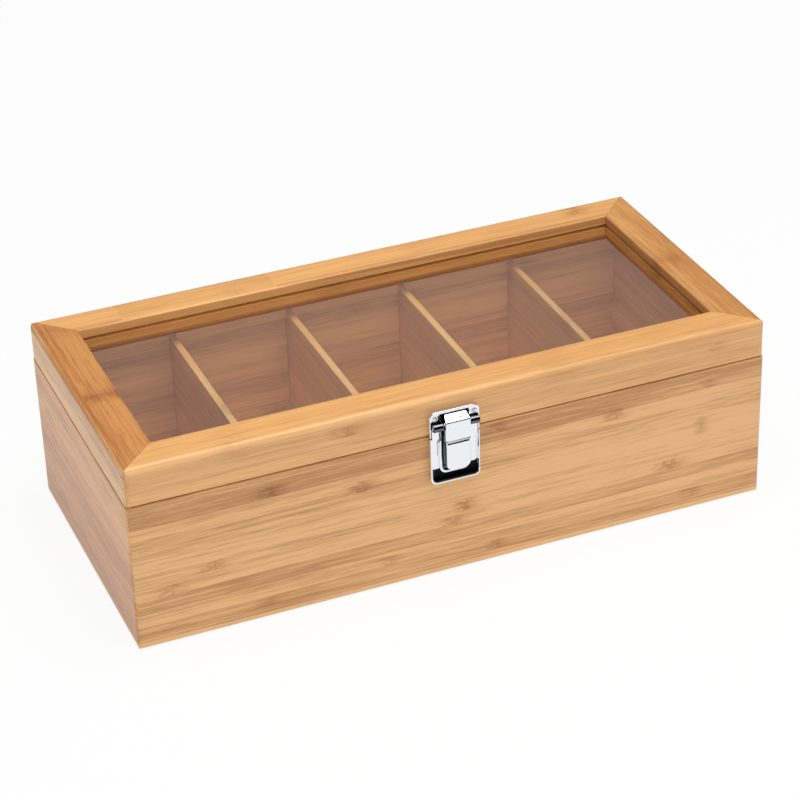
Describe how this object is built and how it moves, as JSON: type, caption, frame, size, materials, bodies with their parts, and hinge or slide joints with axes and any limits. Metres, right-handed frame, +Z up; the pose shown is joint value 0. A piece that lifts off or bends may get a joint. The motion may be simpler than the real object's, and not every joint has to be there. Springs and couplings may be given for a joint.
{
  "type": "tea bag organizer box",
  "caption": "Long bamboo tea box with a hinged windowed lid, fixed dividers that make a row of compartments, and a toggle latch on the front.",
  "frame": {"origin": "middle of the underside of the box body, which stands on the surface", "axes": "+X to the right seen from the front and along the box's length, +Y from the front to the back, +Z up; the latch faces -Y"},
  "size_m": [0.34, 0.1722, 0.102],
  "materials": {
    "bamboo": "satin lacquer",
    "bamboo_panel": "matt",
    "window": "clear polished",
    "latch_chrome": "polished",
    "hinge_steel": "polished",
    "pin_steel": "plain"
  },
  "bodies": {
    "box": {"front_wall": "bamboo", "back_wall": "bamboo", "left_wall": "bamboo", "right_wall": "bamboo", "bottom_panel": "bamboo_panel", "divider_1": "bamboo_panel", "divider_2": "bamboo_panel", "divider_3": "bamboo_panel", "divider_4": "bamboo_panel", "hinge_left_box_leaf": "hinge_steel", "hinge_right_box_leaf": "hinge_steel", "hinge_left_pin": "pin_steel", "hinge_right_pin": "pin_steel", "hinge_box_screws": "pin_steel", "latch_base": "latch_chrome", "base_nails": "pin_steel"},
    "lid": {"lid_front_rail": "bamboo", "lid_back_rail": "bamboo", "lid_left_rail": "bamboo", "lid_right_rail": "bamboo", "window_pane": "window", "hinge_left_lid_leaf": "hinge_steel", "hinge_right_lid_leaf": "hinge_steel", "hinge_lid_screws": "pin_steel", "latch_keeper": "latch_chrome", "keeper_nails": "pin_steel"},
    "lever": {"latch_lever": "latch_chrome", "lever_pin": "pin_steel", "claw_pin": "pin_steel"},
    "claw": {"latch_claw": "latch_chrome"}
  },
  "joints": [
    {"name": "lid_hinge", "type": "hinge", "parent": "box", "child": "lid", "pos_m": [0, 0.0825, 0.08125], "axis": [-1, 0, 0], "range_deg": [0, 105]},
    {"name": "latch_lever_hinge", "type": "hinge", "parent": "box", "child": "lever", "pos_m": [-0.003, -0.0849, 0.08775], "axis": [-1, 0, 0], "range_deg": [0, 95]},
    {"name": "latch_claw_hinge", "type": "hinge", "parent": "lever", "child": "claw", "pos_m": [-0.003, -0.08715, 0.07975], "axis": [1, 0, 0], "range_deg": [0, 105]}
  ],
  "couplings": [
    {"joint": "latch_claw_hinge", "follows": "latch_lever_hinge", "ratio": 1.1}
  ]
}
